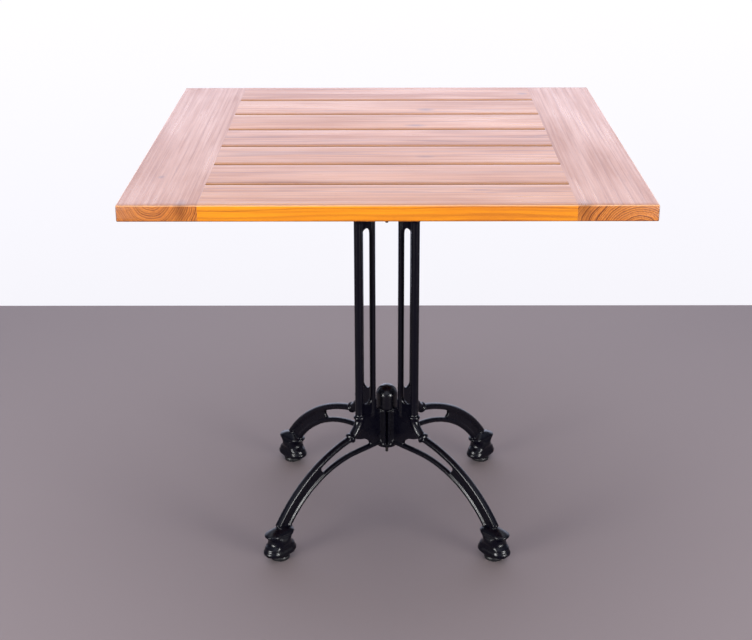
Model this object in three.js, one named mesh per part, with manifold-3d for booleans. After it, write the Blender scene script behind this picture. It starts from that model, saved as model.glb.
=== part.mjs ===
// Bistro table: a slatted hardwood top on a four-legged cast iron base.
// Millimetres, +Z up. The origin is on the floor under the middle of the top.
// Each casting is drawn in its own radial plane: r outwards from the axis, z up.

import * as THREE from 'three';
import { mergeVertices } from 'three/addons/utils/BufferGeometryUtils.js';
import Module from 'manifold-3d';

const wasm = await Module();
wasm.setup();

// ---- driving dimensions ----

const tableHeight = 722;
const fit = 0.3;                                   // clearance between fitted pieces

const top = {
  size: 800, thickness: 25, boardWidth: 120, slatWidth: 110, slatCount: 7,
  ease: 1.5,                                       // eased arrises
  tenonWidth: 80, tenonThickness: 10, tenonLength: 18,
};
top.under = tableHeight - top.thickness;
top.slatLength = top.size - 2 * top.boardWidth;
top.slatPitch = (top.size - top.slatWidth) / (top.slatCount - 1);
top.middle = tableHeight - top.thickness / 2;

const batten = { x: 120, width: 60, depth: 18, length: 630 };
batten.under = top.under - batten.depth;

const slatScrew = { shank: 2, head: 4, length: 32 };
const padScrew = { shank: 2.2, head: 5, headHeight: 3, bite: 12, spacing: 16 };

const column = { outerR: 71, outerRadius: 7.5, innerR: 36.5, innerRadius: 5.4, web: 6 };
column.slotLow = 231;
column.slotHigh = 569;

const leg = {
  upper: { r: 48, z: -97.5, radius: 275.7, rib: 6.5 },   // arc of the upper rib
  lower: { r: 80, z: -68.5, radius: 210.5, rib: 5.2 },   // arc of the lower rib
  elbowR: 94, ribEndUpperR: 273, ribEndLowerR: 249,
  slotEndR: 168, web: 7,
};
leg.lowerFlatZ = leg.lower.z + leg.lower.radius;

const collar = { radius: 10.8, half: 3.2, z: 210, topZ: 590 };
const elbowRadius = 8;

const hub = { radius: 19.5, low: 131, high: 209, round: 4, seam: 0.3, groove: 1.6,
  bore: 3.6, recess: 8.5, recessDepth: 12 };
const upperHub = { ...hub, low: 583, high: 660, recessDepth: 8 };

const arm = { riseR: 105, padR: 170, padRadius: 26, padThickness: 8, rib: 6.5 };
arm.padUnder = batten.under - arm.padThickness;
arm.ribZ = arm.padUnder + 1 - arm.rib / 2;
arm.topRibZ = upperHub.high - 8;

const foot = { r: 271, reach: 10.1, soleReach: 3, neckReach: 4.5, bottom: 8, socket: 4.6, socketTop: 40 };
const glide = { radius: 17.2, height: foot.bottom - fit, stem: 4, stemTop: 32 };

const rod = { radius: 3, low: 115, high: 228 };
const finial = { radius: 19.8, straight: 24.8, thread: 3.3, threadDepth: 30 };
const nut = { acrossCorners: 11.5, height: 5 };
const washer = { radius: 7.5, hole: 3.4, thickness: 1.2 };
const upperBolt = { tip: 568, headHeight: 4.5 };

// ---- finishes ----

const finishes = {
  timber: { color: 0xc98a52, roughness: 0.42, metalness: 0 },
  endBoard: { color: 0xc08a62, roughness: 0.42, metalness: 0 },
  battenTimber: { color: 0xa9764a, roughness: 0.7, metalness: 0 },
  blackIron: { color: 0x15151a, roughness: 0.3, metalness: 0.2 },
  zinc: { color: 0x8d9095, roughness: 0.4, metalness: 0.9 },
  blackNylon: { color: 0x0f0f10, roughness: 0.6, metalness: 0 },
};

// ---- solids: joining and cutting ----

function solid(geometry) {
  const plain = geometry.clone();
  plain.deleteAttribute('normal');
  plain.deleteAttribute('uv');
  const merged = mergeVertices(plain, 1e-4);
  return new wasm.Manifold(new wasm.Mesh({
    numProp: 3,
    vertProperties: new Float32Array(merged.attributes.position.array),
    triVerts: new Uint32Array(merged.index.array),
  }));
}

function geometryOf(manifold) {
  const mesh = manifold.getMesh();
  const geometry = new THREE.BufferGeometry();
  geometry.setAttribute('position', new THREE.BufferAttribute(mesh.vertProperties, 3));
  geometry.setIndex(new THREE.BufferAttribute(mesh.triVerts, 1));
  geometry.computeVertexNormals();
  return geometry;
}

const join = (first, ...rest) => rest.reduce((sum, next) => sum.add(next), first);
const cut = (body, ...tools) => tools.reduce((left, tool) => left.subtract(tool), body);

// ---- basic shapes ----

function box(width, depth, height, x = 0, y = 0, z = 0) {
  return new THREE.BoxGeometry(width, depth, height).translate(x, y, z);
}

// Solid of revolution about Z: the profile is a list of [radius, height] pairs.
function turned(profile, sides = 24) {
  const points = profile.map(([r, z]) => new THREE.Vector2(r, z));
  return new THREE.LatheGeometry(points, sides).rotateX(Math.PI / 2);
}

function rodBetween(radius, low, high, sides = 12) {
  return turned([[0, low], [radius, low], [radius, high], [0, high]], sides);
}

function sleeve(outer, inner, low, high, sides = 14) {
  return turned([[inner, low], [outer, low], [outer, high], [inner, high], [inner, low]], sides);
}

// Flat panel standing in the radial plane, centred on it.
function panel(shape, thickness, curveSegments = 8) {
  return new THREE.ExtrudeGeometry(shape, { depth: thickness, bevelEnabled: false, curveSegments })
    .rotateX(Math.PI / 2).translate(0, thickness / 2, 0);
}

function circleShape(radius, sides) {
  const shape = new THREE.Shape();
  for (let i = 0; i < sides; i += 1) {
    const angle = 2 * Math.PI * i / sides;
    const point = [radius * Math.cos(angle), radius * Math.sin(angle)];
    if (i) shape.lineTo(...point); else shape.moveTo(...point);
  }
  shape.closePath();
  return shape;
}

// Round bar along a curve.
function bar(curve, radius, steps, sides = 10) {
  return new THREE.ExtrudeGeometry(circleShape(radius, sides),
    { steps, bevelEnabled: false, extrudePath: curve });
}

const inPlane = (r, z) => new THREE.Vector3(r, 0, z);

const arcZ = (arc, r) => arc.z + Math.sqrt(arc.radius ** 2 - (r - arc.r) ** 2);

// Arc of a leg rib between two radii, walked by equal angles.
class RibArc extends THREE.Curve {
  constructor(arc, startR, endR) {
    super();
    this.arc = arc;
    this.start = Math.asin((startR - arc.r) / arc.radius);
    this.end = Math.asin((endR - arc.r) / arc.radius);
  }

  getPoint(t, target = new THREE.Vector3()) {
    const angle = this.start + (this.end - this.start) * t;
    return target.set(this.arc.r + this.arc.radius * Math.sin(angle), 0,
      this.arc.z + this.arc.radius * Math.cos(angle));
  }
}

// ---- tabletop ----

// Section of a board with eased arrises, centred on the origin.
function boardSection(width, thickness) {
  const w = width / 2;
  const t = thickness / 2;
  const e = top.ease;
  const shape = new THREE.Shape();
  shape.moveTo(-w + e, -t);
  shape.lineTo(w - e, -t);
  shape.lineTo(w, -t + e);
  shape.lineTo(w, t - e);
  shape.lineTo(w - e, t);
  shape.lineTo(-w + e, t);
  shape.lineTo(-w, t - e);
  shape.lineTo(-w, -t + e);
  shape.closePath();
  return shape;
}

function boardAlongX(width, thickness, length) {
  return new THREE.ExtrudeGeometry(boardSection(width, thickness), { depth: length, bevelEnabled: false })
    .translate(0, 0, -length / 2).rotateX(Math.PI / 2).rotateZ(Math.PI / 2);
}

function boardAlongY(width, thickness, length) {
  return boardAlongX(width, thickness, length).rotateZ(Math.PI / 2);
}

const slatY = (index) => -top.size / 2 + top.slatWidth / 2 + index * top.slatPitch;

// Side board with a mortise for each slat's tenon.
function sideBoard(side) {
  const x = side * (top.size - top.boardWidth) / 2;
  const inner = side * top.slatLength / 2;
  let board = solid(boardAlongY(top.boardWidth, top.thickness, top.size).translate(x, 0, top.middle));
  const depth = top.tenonLength + fit;
  for (let i = 0; i < top.slatCount; i += 1) {
    const mortise = box(2 * depth, top.tenonWidth + 2 * fit, top.tenonThickness + 2 * fit,
      inner, slatY(i), top.middle);
    board = cut(board, solid(mortise));
  }
  return geometryOf(board);
}

function slat(index) {
  const y = slatY(index);
  const shoulder = top.slatLength - 2 * fit;
  const body = boardAlongX(top.slatWidth, top.thickness, shoulder).translate(0, y, top.middle);
  const tenons = box(top.slatLength + 2 * top.tenonLength - 2 * fit, top.tenonWidth,
    top.tenonThickness, 0, y, top.middle);
  const pilots = [-1, 1].map((side) => solid(rodBetween(slatScrew.shank + fit,
    top.under - 1, batten.under + slatScrew.length + 1, 8)
    .translate(side * batten.x, screwY(index), 0)));
  return geometryOf(cut(join(solid(body), solid(tenons)), ...pilots));
}

function battenRail(side) {
  const middle = top.under - batten.depth / 2 - fit / 2;
  const rail = boardAlongY(batten.width, batten.depth - fit, batten.length)
    .translate(side * batten.x, 0, middle);
  const holes = [];
  for (let i = 0; i < top.slatCount; i += 1) {
    holes.push(solid(slatScrewSolid(fit).translate(side * batten.x, screwY(i), 0)));
  }
  for (const end of [-1, 1]) {
    for (const across of [-1, 1]) {
      const [x, y] = padScrewPlace(side, end, across);
      const hole = rodBetween(padScrew.shank + fit, batten.under - 2, batten.under + padScrew.bite + 1, 8);
      holes.push(solid(hole.translate(x, y, 0)));
    }
  }
  return geometryOf(cut(solid(rail), ...holes));
}

// The end slats are screwed nearer the middle, so that the battens stop short of the edge.
function screwY(index) {
  const limit = batten.length / 2 - 12;
  return THREE.MathUtils.clamp(slatY(index), -limit, limit);
}

// Countersunk wood screw, driven up through a batten.
function slatScrewSolid(grow = 0) {
  const low = batten.under + 0.6 - grow;
  const shank = slatScrew.shank + grow;
  const head = slatScrew.head + grow;
  return turned([[0, low - (grow ? 2 : 0)], [head, low - (grow ? 2 : 0)], [head, low + 0.6],
    [shank, low + 3.4], [shank, batten.under + slatScrew.length - 4 + grow],
    [0, batten.under + slatScrew.length + grow]], 8);
}

// ---- castings ----

const quarterTurns = {
  front_right: -Math.PI / 4, rear_right: Math.PI / 4,
  rear_left: 3 * Math.PI / 4, front_left: -3 * Math.PI / 4,
};

// A quarter of a round boss, with its two joint faces set back and grooved.
function quarterSector(reach) {
  const { radius, seam, groove } = hub;
  const set = seam * Math.SQRT1_2;
  const lip = radius - groove;
  const shape = new THREE.Shape();
  shape.moveTo(seam, 0);
  shape.lineTo(lip * Math.SQRT1_2 + set, -lip * Math.SQRT1_2 + set);
  shape.lineTo(radius, -(radius - 4 * groove) * Math.SQRT1_2);
  shape.lineTo(reach, -reach / 4);
  shape.lineTo(reach, reach / 4);
  shape.lineTo(radius, (radius - 4 * groove) * Math.SQRT1_2);
  shape.lineTo(lip * Math.SQRT1_2 + set, lip * Math.SQRT1_2 - set);
  shape.closePath();
  return shape;
}

function quarterBoss(boss) {
  const { radius, round, low, high, bore, recess, recessDepth } = boss;
  const whole = turned([[0, low], [radius - round, low], [radius - round * 0.3, low + round * 0.3],
    [radius, low + round], [radius, high - 1], [radius - 1, high], [0, high]], 32);
  const sector = new THREE.ExtrudeGeometry(quarterSector(2 * radius),
    { depth: high - low + 4, bevelEnabled: false }).translate(0, 0, low - 2);
  const boreTool = rodBetween(bore, low - 5, high + 5, 16);
  const recessTool = rodBetween(recess, low - 5, low + recessDepth, 16);
  return cut(solid(whole).intersect(solid(sector)), solid(boreTool), solid(recessTool));
}

// Rounded ring around a rib, turned to lie square to it.
function collarRing(r, z, tilt = 0) {
  const { radius, half } = collar;
  return turned([[0, -half], [radius - 1.6, -half], [radius, -half + 1.6], [radius, half - 1.6],
    [radius - 1.6, half], [0, half]], 12).rotateY(tilt).translate(r, 0, z);
}

// Web of the lower hub: from the axis out to the elbow, up to the foot of the long slot.
function lowerWebShape() {
  const slotRadius = (column.outerR - column.outerRadius - column.innerR - column.innerRadius) / 2;
  const slotR = column.outerR - column.outerRadius - slotRadius;
  const slotZ = column.slotLow + slotRadius;
  const shape = new THREE.Shape();
  shape.moveTo(hub.recess + 4, leg.lowerFlatZ);
  shape.lineTo(46, leg.lowerFlatZ);
  shape.lineTo(46, 149);
  shape.quadraticCurveTo(54, 163, 70, 164.5);
  shape.lineTo(leg.elbowR, arcZ(leg.upper, leg.elbowR));
  shape.quadraticCurveTo(74, 180, column.outerR, collar.z);
  shape.lineTo(column.outerR, slotZ);
  shape.lineTo(slotR + slotRadius, slotZ);
  shape.absarc(slotR, slotZ, slotRadius, 0, Math.PI, true);
  shape.lineTo(column.innerR, slotZ);
  shape.lineTo(column.innerR, hub.high - 4);
  shape.lineTo(hub.recess + 4, hub.high - 4);
  shape.closePath();
  return shape;
}

// Web of the upper hub: mirrors the lower one and runs out along the arm.
function upperWebShape() {
  const slotRadius = (column.outerR - column.outerRadius - column.innerR - column.innerRadius) / 2;
  const slotR = column.outerR - column.outerRadius - slotRadius;
  const slotZ = column.slotHigh - slotRadius;
  const shape = new THREE.Shape();
  shape.moveTo(hub.recess + 4, upperHub.low + 6);
  shape.lineTo(column.innerR, upperHub.low + 6);
  shape.lineTo(column.innerR, slotZ);
  shape.lineTo(slotR - slotRadius, slotZ);
  shape.absarc(slotR, slotZ, slotRadius, Math.PI, 0, true);
  shape.lineTo(column.outerR, slotZ);
  shape.lineTo(column.outerR, collar.topZ);
  shape.quadraticCurveTo(column.outerR + 4, arm.ribZ - 29, arm.riseR, arm.ribZ - 12);
  shape.lineTo(arm.padR - 20, arm.ribZ - 1);
  shape.lineTo(hub.recess + 4, arm.topRibZ);
  shape.closePath();
  return shape;
}

// Web between the two leg ribs, from the end of the leg's slot down into the foot.
function legWebShape() {
  const { upper, lower, slotEndR } = leg;
  const shape = new THREE.Shape();
  const steps = 8;
  shape.moveTo(slotEndR - 8, arcZ(lower, slotEndR - 8));
  shape.lineTo(slotEndR - 4, arcZ(lower, slotEndR) + 9);
  shape.lineTo(slotEndR + 2, (arcZ(lower, slotEndR) + arcZ(upper, slotEndR)) / 2);
  shape.lineTo(slotEndR + 2, arcZ(upper, slotEndR) - 9);
  shape.lineTo(slotEndR - 2, arcZ(upper, slotEndR - 2));
  for (let i = 1; i <= steps; i += 1) {
    const r = slotEndR + (leg.ribEndUpperR - slotEndR) * i / steps;
    shape.lineTo(r, arcZ(upper, r));
  }
  for (let i = 0; i < steps; i += 1) {
    const r = leg.ribEndLowerR + (slotEndR - leg.ribEndLowerR) * i / steps;
    shape.lineTo(r, arcZ(lower, r));
  }
  shape.closePath();
  return shape;
}

// Long foot: flange with a domed top, cove neck, double belly and an undercut sole. Its nose and
// heel are round and its sides straight, most of all at the belly and the flange.
function footSolid() {
  const b = foot.bottom;
  const { reach, soleReach, neckReach } = foot;
  const profile = [[0, b, 0], [14.6, b, soleReach], [18.4, b + 2.5, 5], [28.4 - reach, b + 6.5, reach],
    [28.2 - reach, b + 16, reach], [25 - 8, b + 21.5, 8], [21.6 - neckReach, b + 27, neckReach],
    [20.8 - neckReach, b + 32.5, neckReach], [24.6 - 8, b + 39.5, 8], [26 - reach, b + 43.5, reach],
    [22 - 8, b + 48.5, 8], [0, b + 54, 0]];
  const outer = turned(profile, 20);
  const place = outer.getAttribute('position');
  for (let i = 0; i < place.count; i += 1) {
    const side = Math.abs(place.getX(i)) < 0.01 ? 0 : Math.sign(place.getX(i));
    const level = profile.reduce((best, point) =>
      (Math.abs(point[1] - place.getZ(i)) < Math.abs(best[1] - place.getZ(i)) ? point : best));
    place.setX(i, place.getX(i) + side * level[2] * Math.SQRT2);
  }
  outer.translate(foot.r, 0, 0);
  const socket = rodBetween(foot.socket, b - 3, foot.socketTop, 12).translate(foot.r, 0, 0);
  return cut(solid(outer), solid(socket));
}

function armPad() {
  const { padRadius, padUnder, padThickness, padR } = arm;
  const disc = turned([[0, padUnder], [padRadius - 2, padUnder], [padRadius, padUnder + 2],
    [padRadius, padUnder + padThickness - fit], [0, padUnder + padThickness - fit]], 20);
  const boss = turned([[0, padUnder - 7], [7, padUnder - 6], [9, padUnder + 2], [0, padUnder + 2]], 10);
  const holes = [-1, 1].map((side) => solid(rodBetween(padScrew.shank + fit, padUnder - 3,
    padUnder + padThickness + 3, 8).translate(0, side * padScrew.spacing, 0)));
  return cut(join(solid(disc), solid(boss)), ...holes).translate([padR, 0, 0]);
}

function casting() {
  const elbow = new THREE.CubicBezierCurve3(inPlane(column.outerR, collar.z),
    inPlane(column.outerR, collar.z - 16), inPlane(leg.elbowR - 13, arcZ(leg.upper, leg.elbowR) + 8),
    inPlane(leg.elbowR + 1, arcZ(leg.upper, leg.elbowR + 1)));
  const armCurve = new THREE.CubicBezierCurve3(inPlane(column.outerR, collar.topZ),
    inPlane(column.outerR, collar.topZ + 34), inPlane(arm.riseR - 14, arm.ribZ - 4),
    inPlane(arm.padR, arm.ribZ));
  const lowerRun = new THREE.LineCurve3(inPlane(hub.radius - 6, leg.lowerFlatZ),
    inPlane(leg.lower.r + 1, leg.lowerFlatZ));
  const topRun = new THREE.LineCurve3(inPlane(hub.radius - 6, arm.topRibZ),
    inPlane(arm.padR - 10, arm.ribZ));
  const pieces = [
    rodBetween(column.outerRadius, collar.z - 3, collar.topZ + 3, 12).translate(column.outerR, 0, 0),
    rodBetween(column.innerRadius, hub.high - 8, upperHub.low + 12, 10).translate(column.innerR, 0, 0),
    bar(elbow, elbowRadius, 5, 12),
    bar(new RibArc(leg.upper, leg.elbowR - 2, leg.ribEndUpperR), leg.upper.rib, 10),
    bar(lowerRun, leg.lower.rib, 1),
    bar(new RibArc(leg.lower, leg.lower.r, leg.ribEndLowerR), leg.lower.rib, 10),
    bar(armCurve, arm.rib, 8),
    bar(topRun, leg.lower.rib, 1),
    panel(lowerWebShape(), column.web),
    panel(upperWebShape(), column.web),
    panel(legWebShape(), leg.web),
    collarRing(column.outerR, collar.z),
    collarRing(leg.elbowR, arcZ(leg.upper, leg.elbowR) + 1, THREE.MathUtils.degToRad(118)),
    collarRing(column.outerR, collar.topZ),
  ].map(solid);
  const body = join(quarterBoss(hub), quarterBoss(upperHub), footSolid(), armPad(), ...pieces);
  return geometryOf(body);
}

// ---- hub hardware ----

function finialCap() {
  const base = hub.high + fit;
  const shoulder = base + finial.straight;
  const profile = [[0, base], [finial.radius - 0.8, base], [finial.radius, base + 0.8]];
  const steps = 8;
  for (let i = 0; i <= steps; i += 1) {
    const angle = Math.PI / 2 * i / steps;
    profile.push([finial.radius * Math.cos(angle) * (i < steps ? 1 : 0),
      shoulder + finial.radius * Math.sin(angle)]);
  }
  const thread = rodBetween(finial.thread, base - 3, base + finial.threadDepth, 12);
  return geometryOf(cut(solid(turned(profile, 32)), solid(thread)));
}

function tieRod() {
  return turned([[0, rod.low], [rod.radius - 0.7, rod.low], [rod.radius, rod.low + 0.7],
    [rod.radius, rod.high - 0.7], [rod.radius - 0.7, rod.high], [0, rod.high]], 12);
}

function hexNut(low) {
  const blank = turned([[0, low], [nut.acrossCorners / 2, low],
    [nut.acrossCorners / 2, low + nut.height], [0, low + nut.height]], 6);
  return geometryOf(cut(solid(blank), solid(rodBetween(washer.hole, low - 2, low + nut.height + 2, 12))));
}

function hexBolt(seat) {
  const head = turned([[0, seat], [nut.acrossCorners / 2, seat],
    [nut.acrossCorners / 2, seat + upperBolt.headHeight], [0, seat + upperBolt.headHeight]], 6);
  return geometryOf(join(solid(head), solid(rodBetween(rod.radius, upperBolt.tip, seat + 1))));
}

// ---- screws and glides ----

// Pan-head screw from below through an arm pad into a batten, one each side of the rib.
function padScrewPlace(sideX, sideY, across) {
  const radial = arm.padR * Math.SQRT1_2;
  const tangent = across * padScrew.spacing * Math.SQRT1_2;
  return [sideX * (radial + tangent), sideY * (radial - tangent)];
}

function padScrewSolid() {
  const seat = arm.padUnder - fit;
  return turned([[0, seat - padScrew.headHeight], [padScrew.head - 1.5, seat - padScrew.headHeight],
    [padScrew.head, seat - 1], [padScrew.head, seat], [padScrew.shank, seat],
    [padScrew.shank, batten.under + padScrew.bite - 3], [0, batten.under + padScrew.bite]], 8);
}

function glideFoot() {
  const { radius, height, stem, stemTop } = glide;
  return turned([[0, 0], [radius - 1.5, 0], [radius, 1.5], [radius, height - 2], [radius - 1.5, height],
    [stem, height], [stem, stemTop - 1], [stem - 1, stemTop], [0, stemTop]], 16);
}

// ---- assembly ----

const table = new THREE.Group();

function addPiece(name, geometry, finish) {
  const mesh = new THREE.Mesh(geometry, new THREE.MeshStandardMaterial(finishes[finish]));
  mesh.name = name;
  table.add(mesh);
  return mesh;
}

const sides = { left: -1, right: 1 };
const ends = { front: -1, rear: 1 };

for (const [name, side] of Object.entries(sides)) {
  addPiece(`side_board_${name}`, sideBoard(side), 'endBoard');
  addPiece(`batten_${name}`, battenRail(side), 'battenTimber');
}

for (let i = 0; i < top.slatCount; i += 1) {
  addPiece(`slat_${i + 1}`, slat(i), 'timber');
  for (const [name, side] of Object.entries(sides)) {
    const screw = addPiece(`slat_screw_${name}_${i + 1}`, slatScrewSolid(), 'zinc');
    screw.position.set(side * batten.x, screwY(i), 0);
  }
}

const castingGeometry = casting();
for (const [name, angle] of Object.entries(quarterTurns)) {
  addPiece(`leg_casting_${name}`, castingGeometry, 'blackIron').rotation.z = angle;
  const glidePiece = addPiece(`glide_${name}`, glideFoot(), 'blackNylon');
  glidePiece.position.set(foot.r * Math.cos(angle), foot.r * Math.sin(angle), 0);
}

for (const [endName, end] of Object.entries(ends)) {
  for (const [sideName, side] of Object.entries(sides)) {
    for (const [place, across] of Object.entries({ outer: 1, inner: -1 })) {
      const screw = addPiece(`pad_screw_${endName}_${sideName}_${place}`, padScrewSolid(), 'zinc');
      const [x, y] = padScrewPlace(side, end, across);
      screw.position.set(x, y, 0);
    }
  }
}

addPiece('finial_cap_nut', finialCap(), 'blackIron');
addPiece('lower_tie_rod', tieRod(), 'zinc');
const washerSeat = hub.low + hub.recessDepth - fit;
addPiece('lower_washer', sleeve(washer.radius, washer.hole, washerSeat - washer.thickness, washerSeat), 'zinc');
addPiece('lower_nut', hexNut(washerSeat - washer.thickness - fit - nut.height), 'zinc');

const topSeat = upperHub.high + fit + washer.thickness;
addPiece('upper_top_washer', sleeve(washer.radius, washer.hole, topSeat - washer.thickness, topSeat), 'zinc');
addPiece('upper_bolt', hexBolt(topSeat + fit), 'zinc');
const upperSeat = upperHub.low + upperHub.recessDepth - fit;
addPiece('upper_bottom_washer',
  sleeve(washer.radius, washer.hole, upperSeat - washer.thickness, upperSeat), 'zinc');
addPiece('upper_nut', hexNut(upperSeat - washer.thickness - fit - nut.height), 'zinc');

export default table;
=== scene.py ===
import math

import bmesh
import bpy
from mathutils import Matrix, Vector


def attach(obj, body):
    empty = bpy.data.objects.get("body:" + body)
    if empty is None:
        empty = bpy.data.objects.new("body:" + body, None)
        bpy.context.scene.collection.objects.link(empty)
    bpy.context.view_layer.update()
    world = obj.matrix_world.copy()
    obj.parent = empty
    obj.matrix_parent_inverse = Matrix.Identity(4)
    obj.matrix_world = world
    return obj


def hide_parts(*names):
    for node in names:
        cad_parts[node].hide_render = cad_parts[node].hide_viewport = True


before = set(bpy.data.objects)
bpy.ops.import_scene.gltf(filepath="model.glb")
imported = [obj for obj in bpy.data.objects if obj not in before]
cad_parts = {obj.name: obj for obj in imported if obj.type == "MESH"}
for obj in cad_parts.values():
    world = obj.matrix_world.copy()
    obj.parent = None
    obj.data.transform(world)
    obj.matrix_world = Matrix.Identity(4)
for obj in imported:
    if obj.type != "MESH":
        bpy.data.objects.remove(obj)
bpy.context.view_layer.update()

# Bistro table: slatted hardwood top on a four-legged cast iron base.
# Shapes are drawn in millimetres and shrunk to metres when a piece is finished.
# A casting is drawn in its own radial plane: x outwards from the table's axis, z up.

millimetre = 0.001
print("frame loaded")


# finishing a piece

def finishPiece(name, shape, body, material, nodes, sharpAngle=35):
    bmesh.ops.recalc_face_normals(shape, faces=shape.faces)
    bmesh.ops.scale(shape, vec=(millimetre,) * 3, verts=shape.verts)
    mesh = bpy.data.meshes.new(name)
    shape.to_mesh(mesh)
    shape.free()
    return placeMesh(name, mesh, body, material, nodes, sharpAngle)


def placeMesh(name, mesh, body, material, nodes, sharpAngle=35):
    mesh.name = name
    mesh.shade_smooth()
    if sharpAngle < 180:
        mesh.set_sharp_from_angle(angle=math.radians(sharpAngle))
    mesh.materials.clear()
    mesh.materials.append(material)
    piece = bpy.data.objects.new(name, mesh)
    bpy.context.scene.collection.objects.link(piece)
    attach(piece, body)
    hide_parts(*nodes)
    return piece


# node helpers

def newMaterial(name):
    material = bpy.data.materials.new(name)
    material.use_nodes = True
    tree = material.node_tree
    tree.nodes.clear()
    output = tree.nodes.new("ShaderNodeOutputMaterial")
    shader = tree.nodes.new("ShaderNodeBsdfPrincipled")
    tree.links.new(shader.outputs["BSDF"], output.inputs["Surface"])
    return material, tree, shader


def addNode(tree, kind, settings=None, inputs=None):
    node = tree.nodes.new("ShaderNode" + kind)
    for key, value in (settings or {}).items():
        setattr(node, key, value)
    for key, value in (inputs or {}).items():
        if isinstance(value, bpy.types.NodeSocket):
            tree.links.new(value, node.inputs[key])
        else:
            node.inputs[key].default_value = value
    return node


def mathNode(tree, operation, first, second=0.5, third=None):
    values = {0: first, 1: second}
    if third is not None:
        values[2] = third
    return addNode(tree, "Math", {"operation": operation}, values).outputs[0]


def mapRange(tree, value, fromLow, fromHigh, toLow=0.0, toHigh=1.0):
    return addNode(tree, "MapRange", {"clamp": True}, {
        "Value": value, "From Min": fromLow, "From Max": fromHigh,
        "To Min": toLow, "To Max": toHigh}).outputs["Result"]


def mixColour(tree, factor, first, second):
    node = addNode(tree, "Mix", {"data_type": "RGBA", "blend_type": "MIX"})
    for key, value in ((0, factor), (6, first), (7, second)):
        if isinstance(value, bpy.types.NodeSocket):
            tree.links.new(value, node.inputs[key])
        else:
            node.inputs[key].default_value = value
    return node.outputs[2]


def colourRamp(tree, value, stops):
    node = addNode(tree, "ValToRGB", None, {"Fac": value})
    ramp = node.color_ramp
    ramp.elements[0].position, ramp.elements[0].color = stops[0]
    ramp.elements[1].position, ramp.elements[1].color = stops[-1]
    for position, colour in stops[1:-1]:
        ramp.elements.new(position).color = colour
    return node.outputs["Color"]


def objectPlace(tree, rotation=(0, 0, 0)):
    place = addNode(tree, "TexCoord")
    mapping = addNode(tree, "Mapping", {"vector_type": "POINT"}, {
        "Vector": place.outputs["Object"], "Rotation": rotation})
    return mapping.outputs["Vector"]


# wood: growth rings round a pith line, drawn in solid so that faces and ends agree

knotHeight = 0.715                                         # metres, just under the top face
# in each finish the pale arris colour, the last one listed, is a painted highlight, and the streak colour
# also paints shade on the lower arrises and inside the joints
oiledWood = {
    "pale": (0.54, 0.205, 0.008, 1), "middle": (0.42, 0.135, 0.005, 1),
    "dark": (0.27, 0.070, 0.005, 1), "streak": (0.140, 0.036, 0.006, 1), "paintedArrisHighlight": (0.72, 0.40, 0.20, 1),
    "ringWidth": 0.0034, "ringOnFace": 0.46, "ringOnEnd": 0.40, "endShade": 0.0,
    "roughness": (0.27, 0.40), "poreDepth": 0.00006,
}
brownWood = {
    "pale": (0.48, 0.200, 0.050, 1), "middle": (0.38, 0.130, 0.024, 1),
    "dark": (0.28, 0.080, 0.012, 1), "streak": (0.075, 0.016, 0.004, 1), "paintedArrisHighlight": (0.66, 0.38, 0.20, 1),
    "ringWidth": 0.0030, "ringOnFace": 0.13, "ringOnEnd": 0.95, "endShade": 0.3,
    "roughness": (0.27, 0.40), "poreDepth": 0.00006,
}


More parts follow.
